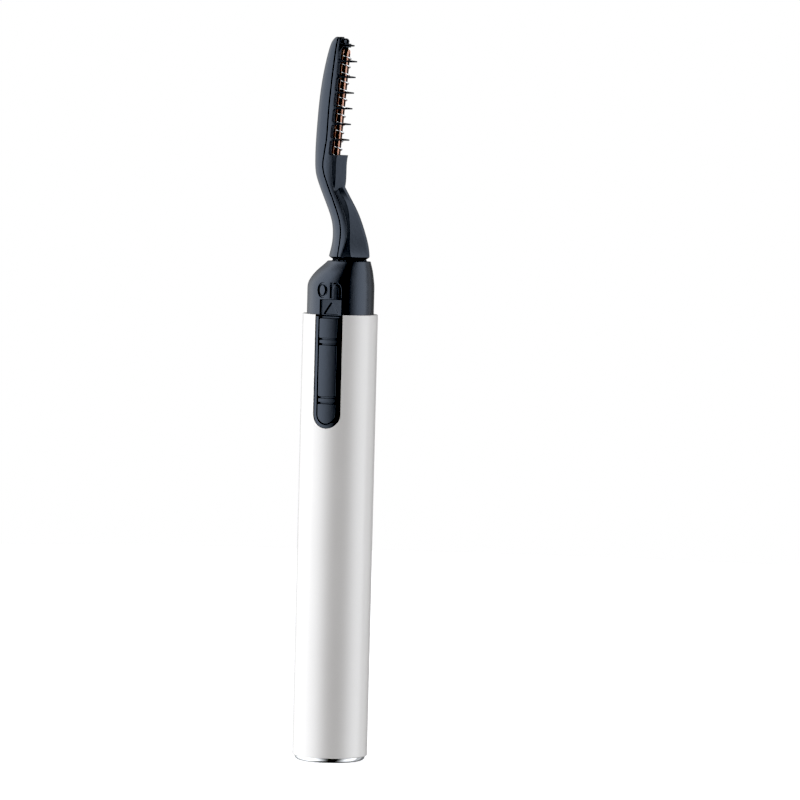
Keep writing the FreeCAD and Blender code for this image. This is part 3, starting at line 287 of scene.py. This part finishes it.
# Scales are noise cells per metre, reliefs are a bump's full height, and colours are linear.
PEARL_TINTS = ((0.3, (0.80, 0.765, 0.745)), (0.7, (0.83, 0.795, 0.775)))
PEARL_TINT_SCALE = 60
FLAKE_TINTS = ((0.0, (0.96, 0.96, 0.95)), (1.0, (1.0, 1.0, 1.0)))
FLAKE_SCALE = 9000
PEARL_HAZE_SCALE = 2500
PEARL_SKIN_SCALE = 3200
PEARL_RELIEF = 0.0012 * MM
BARREL_METAL = (0.70, 0.66, 0.58)

# Where the barrel's paint stops, in mm: the radius inside it, the X of its slot's sides, and a
# level below the slot.
PAINT_INSIDE = (7.50, 7.56)
PAINT_BESIDE_SLOT = (2.955, 2.985)
PAINT_SLOT_LEVEL = 71.0

PLASTIC_PATCH_SCALE = 220
PLASTIC_GRAIN_SCALE = 3000
PLASTIC_MARK_SCALE = 900
PLASTIC_RELIEF = 0.013 * MM

TARNISH_SCALE = 700
METAL_MARK_SCALE = 1500
METAL_RELIEF = 0.0015 * MM

# The cap's haze, and its turned rings: their spacing, the levels where they fade out above its
# foot, and their height.
CHROME_TINTS = ((0.80, 0.81, 0.82), (0.70, 0.71, 0.73))
CHROME_HAZE_SCALE = 500
CHROME_RING = 0.12 * MM
CHROME_FOOT = (0.02 * MM, 0.06 * MM)
CHROME_RELIEF = 0.002 * MM

# The cell's wrap from its foot up, as shares of its length, each with its colour.
WRAP_BODY, WRAP_BAND, WRAP_EDGE = (0.020, 0.075, 0.085), (0.62, 0.64, 0.62), (0.012, 0.02, 0.024)
WRAP_STOPS = (
    (0.0, WRAP_EDGE),
    (0.04, WRAP_BODY),
    (0.70, WRAP_BAND),
    (0.74, WRAP_BODY),
    (0.78, WRAP_BAND),
    (0.96, WRAP_EDGE),
)
WRAP_WORN = (0.35, 0.37, 0.38)
WRAP_WEAR_SCALE = 1200
WRAP_SKIN_SCALE = 2500
WRAP_RELIEF = 0.002 * MM

# The board: its lacquer's colour bare and over a track, half the tracks' spacing across and up,
# half their width each way, and how far their pattern is moved across.
BOARD_GREEN = (0.012, 0.10, 0.045)
TRACK_GREEN = (0.05, 0.20, 0.09)
TRACK_SPACING = (0.7 * MM, 2.3 * MM)
TRACK_HALF_WIDTH = (0.16 * MM, 0.18 * MM)
TRACK_SHIFT = 0.1
TRACK_RELIEF = 0.02 * MM
BOARD_HAZE_SCALE = 3000

# Bare metals by material slot: colour, tarnished colour and roughness.
METALS = {
    "brass_bare": ((0.78, 0.58, 0.28), (0.55, 0.38, 0.16), 0.30),
    "spring_steel": ((0.62, 0.62, 0.62), (0.45, 0.44, 0.43), 0.28),
    "cell_can": ((0.72, 0.72, 0.72), (0.58, 0.58, 0.58), 0.22),
    "screw_steel": ((0.55, 0.56, 0.58), (0.38, 0.38, 0.40), 0.32),
    "winding_wire": ((0.93, 0.97, 1.0), (0.84, 0.88, 0.94), 0.20),
}
COPPER = ((1.0, 0.58, 0.44), (0.80, 0.42, 0.31), 0.50)
COPPER_STRETCH = (1, 1, 0.1)
COPPER_MARK_SCALE = 3000

# Moulded plastics by material slot: colour, lighter colour, roughness and, where it is not the
# usual one, a gloss of specular level and tint. The outer blacks shine with a touch of blue.
BLACK = ((0.0008, 0.0009, 0.0018), (0.0014, 0.0016, 0.0030))
NAVY_GLOSS = (0.92, (0.68, 0.795, 1.0))
PLASTICS = {
    "white_plastic": ((0.70, 0.70, 0.67), (0.76, 0.76, 0.73), 0.42),
    "black_plastic": (*BLACK, 0.22, NAVY_GLOSS),
    "lead_red": ((0.42, 0.02, 0.018), (0.50, 0.03, 0.025), 0.45),
    "lead_black": ((0.012, 0.012, 0.013), (0.02, 0.02, 0.022), 0.45),
    "core_ceramic": ((0.001, 0.001, 0.0012), (0.002, 0.002, 0.0024), 0.5, (0.25, (1, 1, 1))),
    "switch_black": (*BLACK, 0.25, NAVY_GLOSS),
    "comb_black": (*BLACK, 0.25, NAVY_GLOSS),
    "pin_black": (*BLACK, 0.25, NAVY_GLOSS),
}


def new_material(name):
    """A material, its nodes and its main shader."""
    material = bpy.data.materials.new(name)
    material.use_nodes = True
    nodes = Nodes(material.node_tree)
    return material, nodes, material.node_tree.nodes["Principled BSDF"]


def place(nodes, stretch=(1, 1, 1)):
    """The point's own coordinates in metres, stretched per axis."""
    point = nodes.add("ShaderNodeTexCoord").outputs["Object"]
    if stretch == (1, 1, 1):
        return point
    return nodes.vector("MULTIPLY", point, stretch)


def noise(nodes, per_metre, detail=2.0, stretch=(1, 1, 1)):
    made = nodes.add("ShaderNodeTexNoise")
    nodes.put(place(nodes, stretch), made.inputs["Vector"])
    made.inputs["Scale"].default_value = per_metre
    made.inputs["Detail"].default_value = detail
    made.inputs["Roughness"].default_value = 0.5
    return made.outputs[0]


def flake_colours(nodes, per_metre):
    """A random colour in each of many small cells."""
    made = nodes.add("ShaderNodeTexVoronoi")
    nodes.put(place(nodes), made.inputs["Vector"])
    made.inputs["Scale"].default_value = per_metre
    return made.outputs["Color"]


def set_rough(nodes, shader, factor, spread, smoothest):
    """Roughness that grows from its smoothest by a factor times its spread."""
    level = nodes.math("MULTIPLY_ADD", factor, spread, smoothest)
    nodes.put(level, shader.inputs["Roughness"])


def set_bump(nodes, shader, height, depth):
    """A bump whose full height is depth metres."""
    made = nodes.add("ShaderNodeBump")
    made.inputs["Strength"].default_value = 1.0
    made.inputs["Distance"].default_value = depth
    nodes.put(height, made.inputs["Height"])
    nodes.put(made.outputs[0], shader.inputs["Normal"])


def radius_of(nodes):
    """The point's distance from the barrel's axis, then its X, Y and Z."""
    x, y, z = nodes.split(place(nodes))
    flat = nodes.math("ADD", nodes.math("MULTIPLY", x, x), nodes.math("MULTIPLY", y, y))
    return nodes.math("SQRT", flat), x, y, z


def pearl_paint():
    """Satin white paint with a fine pearl flake; bare warm metal on the cut edges and inside."""
    material, nodes, shader = new_material("pearl_paint")
    radius, x, y, z = radius_of(nodes)
    tint = nodes.ramp(noise(nodes, PEARL_TINT_SCALE, 3.0), PEARL_TINTS)
    sparkle = nodes.ramp(flake_colours(nodes, FLAKE_SCALE), FLAKE_TINTS)
    paint = nodes.vector("MULTIPLY", tint, sparkle)
    inside = nodes.span(radius, *(edge * MM for edge in PAINT_INSIDE), 1.0, 0.0)
    slot_sides = (edge * MM for edge in PAINT_BESIDE_SLOT)
    beside = nodes.span(nodes.math("ABSOLUTE", x), *slot_sides, 1.0, 0.0)
    front = nodes.math("LESS_THAN", y, 0.0)
    raised = nodes.math("GREATER_THAN", z, PAINT_SLOT_LEVEL * MM)
    slot = nodes.math("MULTIPLY", nodes.math("MULTIPLY", beside, front), raised)
    bare = nodes.math("MAXIMUM", inside, slot)
    nodes.put(nodes.mix(bare, paint, BARREL_METAL), shader.inputs["Base Color"])
    nodes.put(nodes.math("MULTIPLY", bare, 0.7), shader.inputs["Metallic"])
    set_rough(nodes, shader, noise(nodes, PEARL_HAZE_SCALE, 2.0), 0.08, 0.36)
    shader.inputs["IOR"].default_value = 1.7
    shader.inputs["Specular IOR Level"].default_value = 0.85
    shader.inputs["Coat Weight"].default_value = 0.9
    shader.inputs["Coat IOR"].default_value = 1.75
    shader.inputs["Coat Roughness"].default_value = 0.24
    set_bump(nodes, shader, noise(nodes, PEARL_SKIN_SCALE, 2.0), PEARL_RELIEF)
    return material


def moulded_plastic(name, colour, lighter, rough, gloss=None):
    """Moulded plastic with a fine spark-eroded grain and faint handling marks."""
    material, nodes, shader = new_material(name)
    patch = nodes.span(noise(nodes, PLASTIC_PATCH_SCALE, 4.0), 0.35, 0.7)
    nodes.put(nodes.mix(patch, colour, lighter), shader.inputs["Base Color"])
    grain = noise(nodes, PLASTIC_GRAIN_SCALE, 2.0)
    coarse = noise(nodes, PLASTIC_GRAIN_SCALE * 0.42, 1.0)
    fine = nodes.math("MULTIPLY_ADD", grain, 0.45, coarse)
    marks = noise(nodes, PLASTIC_MARK_SCALE, 3.0, stretch=(1, 1, 0.25))
    marked = nodes.math("MULTIPLY_ADD", marks, 0.10, rough - 0.05)
    set_rough(nodes, shader, fine, 0.06, marked)
    if gloss:
        level, tint = gloss
        shader.inputs["Specular IOR Level"].default_value = level
        shader.inputs["Specular Tint"].default_value = (*tint, 1)
    set_bump(nodes, shader, fine, PLASTIC_RELIEF)
    return material


def bare_metal(name, colour, darker, rough, stretch=(1, 1, 1), per_metre=METAL_MARK_SCALE):
    """Metal with drawn or rolled marks and a little tarnish."""
    material, nodes, shader = new_material(name)
    tarnish = nodes.span(noise(nodes, TARNISH_SCALE, 4.0), 0.4, 0.75)
    nodes.put(nodes.mix(tarnish, colour, darker), shader.inputs["Base Color"])
    shader.inputs["Metallic"].default_value = 1.0
    marks = noise(nodes, per_metre, 3.0, stretch=stretch)
    set_rough(nodes, shader, marks, 0.16, rough - 0.08)
    set_bump(nodes, shader, marks, METAL_RELIEF)
    return material


def chrome():
    """Polished plate on the side of the cap, with fine turned rings on its flat foot."""
    material, nodes, shader = new_material("chrome_plate")
    radius, _, _, z = radius_of(nodes)
    rings = nodes.math("SINE", nodes.math("MULTIPLY", radius, math.tau / CHROME_RING))
    foot = nodes.span(z, *CHROME_FOOT, 1.0, 0.0)
    haze = noise(nodes, CHROME_HAZE_SCALE, 4.0)
    nodes.put(nodes.mix(haze, *CHROME_TINTS), shader.inputs["Base Color"])
    shader.inputs["Metallic"].default_value = 1.0
    set_rough(nodes, shader, haze, 0.08, 0.06)
    set_bump(nodes, shader, nodes.math("MULTIPLY", rings, foot), CHROME_RELIEF)
    return material


def cell_wrap():
    """A plain printed wrap: a dark body, pale bands towards the positive end and a little wear."""
    material, nodes, shader = new_material("cell_wrap")
    z = nodes.split(place(nodes))[2]
    low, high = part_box("battery_label")
    share = nodes.math("DIVIDE", nodes.math("SUBTRACT", z, low.z), high.z - low.z)
    print_colour = nodes.ramp(share, WRAP_STOPS, "CONSTANT")
    worn = nodes.span(noise(nodes, WRAP_WEAR_SCALE, 4.0), 0.60, 0.72, 0.0, 0.25)
    nodes.put(nodes.mix(worn, print_colour, WRAP_WORN), shader.inputs["Base Color"])
    shader.inputs["Metallic"].default_value = 0.35
    set_rough(nodes, shader, worn, 0.8, 0.24)
    set_bump(nodes, shader, noise(nodes, WRAP_SKIN_SCALE), WRAP_RELIEF)
    return material


def circuit_board():
    """Green board with paler copper tracks under the lacquer."""
    material, nodes, shader = new_material("circuit_board")
    x, _, z = nodes.split(place(nodes))
    bars = nodes.math("PINGPONG", nodes.math("ADD", x, TRACK_SHIFT), TRACK_SPACING[0])
    rungs = nodes.math("PINGPONG", z, TRACK_SPACING[1])
    track = nodes.math("MAXIMUM", nodes.math("LESS_THAN", bars, TRACK_HALF_WIDTH[0]),
                       nodes.math("LESS_THAN", rungs, TRACK_HALF_WIDTH[1]))
    nodes.put(nodes.mix(track, BOARD_GREEN, TRACK_GREEN), shader.inputs["Base Color"])
    set_rough(nodes, shader, noise(nodes, BOARD_HAZE_SCALE), 0.1, 0.28)
    set_bump(nodes, shader, track, TRACK_RELIEF)
    return material


def make_materials():
    """Every finish, by the name of the record's material slot."""
    made = {
        "chrome": chrome(),
        "cell_label": cell_wrap(),
        "pearl_white": pearl_paint(),
        "board_green": circuit_board(),
        "copper_wire": bare_metal("copper_wire", *COPPER, COPPER_STRETCH, COPPER_MARK_SCALE),
    }
    for slot, look in METALS.items():
        made[slot] = bare_metal(slot, *look)
    for slot, look in PLASTICS.items():
        made[slot] = moulded_plastic(slot, *look)
    return made


# ---------------------------------------------------------------- pieces made here

# The thumb slide: each land's half width, foot, top, level, radius across, edge radius and back,
# all in mm. Pads stand up from a plate, with a lower bar in each of the two grooves between them.
SLIDE_END_CENTRE = 71.9
SLIDE_PLATE = (2.0, 69.92, 91.6, 6.7, 7.1, 0.10, 6.06)
SLIDE_ROUND_PAD = (1.94, 69.98, 74.02, 7.72, 8.0, 0.2, 6.6)
SLIDE_PADS = (
    (1.94, 75.50, 86.08, 7.72, 8.0, 0.2, 6.6),
    (1.94, 87.50, 91.55, 7.72, 8.0, 0.2, 6.6),
)
SLIDE_BARS = (
    (2.0, 74.36, 75.14, 7.42, 7.5, 0.08, 6.6),
    (2.0, 86.42, 87.14, 7.42, 7.5, 0.08, 6.6),
)
SLIDE_STEM = ((-0.9, -6.6, 78.2), (0.9, -3.45, 80.6))
SLIDE_STEM_BEVEL = 0.12

# A land's edges along its sides, as a share of its edge radius, and the corners of its outline.
SIDE_EDGE_SHARE = 0.45
PLAN_CORNER = 0.25

# How finely a land is drawn: steps in a rounded edge and in a round foot, faces across, and the
# spacing of its rows in mm.
EDGE_STEPS = 7
FOOT_STEPS = 18
LAND_COLUMNS = 24
ROW_SPACING = 0.5

# The groove round the head's foot, in mm: its centre in X, its lowest and highest level and its
# depth.
WAIST = (1.7, 103.0, 103.75, 0.7)

# The comb's rails, in mm: the Y where their outer skin begins and where it is whole, the X of
# their back edge by level, and how much they widen by level, as a share of their Y.
RAIL_SKIN = (1.5, 1.74)
RAIL_BACK = (
    (124.0, -3.76),
    (127.6, -3.20),
    (132.1, -2.92),
    (137.5, -2.54),
    (142.0, -2.13),
    (147.8, -1.62),
)
RAIL_SPLAY = ((123.5, 0.0), (126.0, 0.05), (145.0, 0.05), (147.6, 0.0))


def edge_distances(edge):
    """Distances from an edge, close together where the edge is rounded."""
    turns = [step / EDGE_STEPS * math.pi / 2 for step in range(EDGE_STEPS + 1)]
    return [edge * (1 - math.cos(turn)) for turn in turns]


def land_rows(half, foot, top, edge, round_foot):
    """Levels of a land's rows, each with its half width there."""
    near = edge_distances(max(edge, PLAN_CORNER))
    rows = []
    if round_foot:
        for step in range(1, FOOT_STEPS + 1):
            turn = step / FOOT_STEPS * math.pi / 2
            rows.append((SLIDE_END_CENTRE - half * math.cos(turn), half * math.sin(turn)))
    else:
        rows += [(foot + gap, None) for gap in near]
    low, high = rows[-1][0], top - near[-1]
    count = max(2, int((high - low) / ROW_SPACING))
    rows += [(low + (high - low) * step / count, None) for step in range(1, count)]
    rows += [(top - gap, None) for gap in reversed(near)]
    shaped = []
    for level, width in rows:
        if width is None:
            to_end = min(top - level, PLAN_CORNER)
            if not round_foot:
                to_end = min(to_end, level - foot)
            missing = PLAN_CORNER - to_end
            width = half - PLAN_CORNER + math.sqrt(max(0.0, PLAN_CORNER ** 2 - missing ** 2))
        shaped.append((level, width))
    return shaped


def rim_of(grid):
    """The vertices round a grid's edge, in order."""
    rim = grid[0] + [row[-1] for row in grid[1:]]
    return rim + grid[-1][-2::-1] + [row[0] for row in grid[-2:0:-1]]


def add_land(shape, half, foot, top, level, across, edge, back, round_foot=False):
    """A raised land, crowned across, rounded along its edges and closed behind."""
    fronts, backs = [], []
    for z, width in land_rows(half, foot, top, edge, round_foot):
        front, behind = [], []
        for column in range(LAND_COLUMNS + 1):
            x = width * math.sin((column / LAND_COLUMNS - 0.5) * math.pi)
            inward = width - abs(x)
            if round_foot and z < SLIDE_END_CENTRE:
                inward = half - math.hypot(x, SLIDE_END_CENTRE - z)
                to_end = edge
            else:
                to_end = min(top - z, edge if round_foot else z - foot)
            beside = max(0.0, 1 - inward / (edge * SIDE_EDGE_SHARE))
            short = min(1.0, math.hypot(beside, max(0.0, 1 - to_end / edge)))
            drop = edge * (1 - math.sqrt(1 - short ** 2))
            crown = across - math.sqrt(across ** 2 - x ** 2)
            y = -(level - crown - drop)
            front.append(shape.verts.new((x * MM, y * MM, z * MM)))
            behind.append(shape.verts.new((x * MM, -back * MM, z * MM)))
        fronts.append(front)
        backs.append(behind)
    for grid, flip in ((fronts, False), (backs, True)):
        for lower, upper in zip(grid, grid[1:]):
            for column in range(LAND_COLUMNS):
                corners = [lower[column], lower[column + 1], upper[column + 1], upper[column]]
                shape.faces.new(corners[::-1] if flip else corners)
    rim_front, rim_back = rim_of(fronts), rim_of(backs)
    for index, vertex in enumerate(rim_front):
        after = (index + 1) % len(rim_front)
        shape.faces.new((vertex, rim_back[index], rim_back[after], rim_front[after]))


def add_block(shape, low, high, bevel):
    """A block with broken edges."""
    low, high = Vector(low) * MM, Vector(high) * MM
    turn = Matrix.Translation((low + high) / 2) @ Matrix.Diagonal((*(high - low), 1))
    corners = bmesh.ops.create_cube(shape, size=1.0, matrix=turn)["verts"]
    edges = {edge for corner in corners for edge in corner.link_edges}
    bmesh.ops.bevel(shape, geom=list(edges), offset=bevel * MM, segments=2, affect="EDGES")


def finish_piece(name, shape, body, stands_for, finish):
    """Turns a bmesh into a piece that rides on a body in place of its CAD nodes."""
    bmesh.ops.recalc_face_normals(shape, faces=shape.faces)
    mesh = bpy.data.meshes.new(name)
    shape.to_mesh(mesh)
    shape.free()
    mesh.shade_smooth()
    piece = bpy.data.objects.new(name, mesh)
    bpy.context.scene.collection.objects.link(piece)
    mesh.materials.append(finish)
    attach(piece, body)
    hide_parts(*stands_for)


def make_slide(finish):
    """The thumb slide: a plate with three pads, two bars and a stem into the pen."""
    shape = bmesh.new()
    add_land(shape, *SLIDE_PLATE, round_foot=True)
    add_land(shape, *SLIDE_ROUND_PAD, round_foot=True)
    for land in SLIDE_PADS + SLIDE_BARS:
        add_land(shape, *land)
    add_block(shape, *SLIDE_STEM, SLIDE_STEM_BEVEL)
    finish_piece("thumb_slide", shape, "switch", ["switch_slider"], finish)


def cut_waist(shape):
    """A V-shaped groove round the head's foot, in the gap above the collar."""
    centre_x, low, high, depth = WAIST
    for vertex in shape.verts:
        x, y, z = vertex.co / MM
        if low < z < high:
            share = 1 - abs(2 * z - low - high) / (high - low)
            radius = math.hypot(x - centre_x, y)
            scale = 1 - depth * share / max(radius, depth)
            vertex.co = Vector((centre_x + (x - centre_x) * scale, y * scale, z)) * MM


def between(points, level):
    """A value read between (level, value) points, held outside them."""
    if level <= points[0][0]:
        return points[0][1]
    for (low, first), (high, second) in zip(points, points[1:]):
        if level <= high:
            return first + (second - first) * (level - low) / (high - low)
    return points[-1][1]


def splay_rails(shape):
    """Widens the comb's rails a little, over the first millimetre forward of their back edge."""
    for vertex in shape.verts:
        x, y, z = vertex.co / MM
        outside = ease((abs(y) - RAIL_SKIN[0]) / (RAIL_SKIN[1] - RAIL_SKIN[0]))
        amount = outside * between(RAIL_SPLAY, z)
        if amount > 0:
            forward = min(1.0, max(0.0, x - between(RAIL_BACK, z)))
            vertex.co.y = y * (1 + amount * forward) * MM


# CAD nodes whose edges are rounded over: the size of the new mesh's cells in mm, the rounds of
# smoothing, the share of its faces that is kept, the material slot and further changes of shape.
MOULDINGS = (
    ("comb_front_frame", 0.055, 2, 0.25, "comb_black", (cut_waist, splay_rails)),
    ("comb_back_shell", 0.075, 4, 0.2, "comb_black", ()),
    ("neck_collar", 0.08, 3, 0.2, "black_plastic", ()),
)


def soften(materials, node, voxel, passes, keep, slot, reshape):
    """A moulded copy of one of the handle's CAD nodes, with its edges rounded over."""
    source = frame["nodes"][node]
    copy = bpy.data.objects.new(node + "_blank", source.data.copy())
    bpy.context.scene.collection.objects.link(copy)
    remesh = copy.modifiers.new("remesh", "REMESH")
    remesh.mode = "VOXEL"
    remesh.voxel_size = voxel * MM
    smooth = copy.modifiers.new("smooth", "SMOOTH")
    smooth.factor = 0.5
    smooth.iterations = passes
    thin = copy.modifiers.new("thin", "DECIMATE")
    thin.ratio = keep
    ready = copy.evaluated_get(bpy.context.evaluated_depsgraph_get())
    shape = bmesh.new()
    shape.from_mesh(bpy.data.meshes.new_from_object(ready))
    bpy.data.objects.remove(copy)
    for change in reshape:
        change(shape)
    finish_piece(node + "_moulded", shape, "handle", [node], materials[slot])


def paint_cad_nodes(materials):
    """Gives each CAD node the finish of its material slot."""
    slots = {entry["node"]: entry["material_slot"] for entry in frame["record"]["subparts"]}
    for name, made in frame["nodes"].items():
        finish = materials[slots[name]]
        if not made.data.materials:
            made.data.materials.append(finish)
        for slot in made.material_slots:
            slot.material = finish


def set_view():
    """The plain view transform, with the darkest tones pulled down to black."""
    view = bpy.context.scene.view_settings
    view.view_transform = "Standard"
    view.use_curve_mapping = True
    view.curve_mapping.black_level = BLACK_POINT
    view.curve_mapping.update()


make_camera()
make_world()
make_floor()
set_view()
materials = make_materials()
paint_cad_nodes(materials)
make_slide(materials["switch_black"])
for moulding in MOULDINGS:
    soften(materials, *moulding)
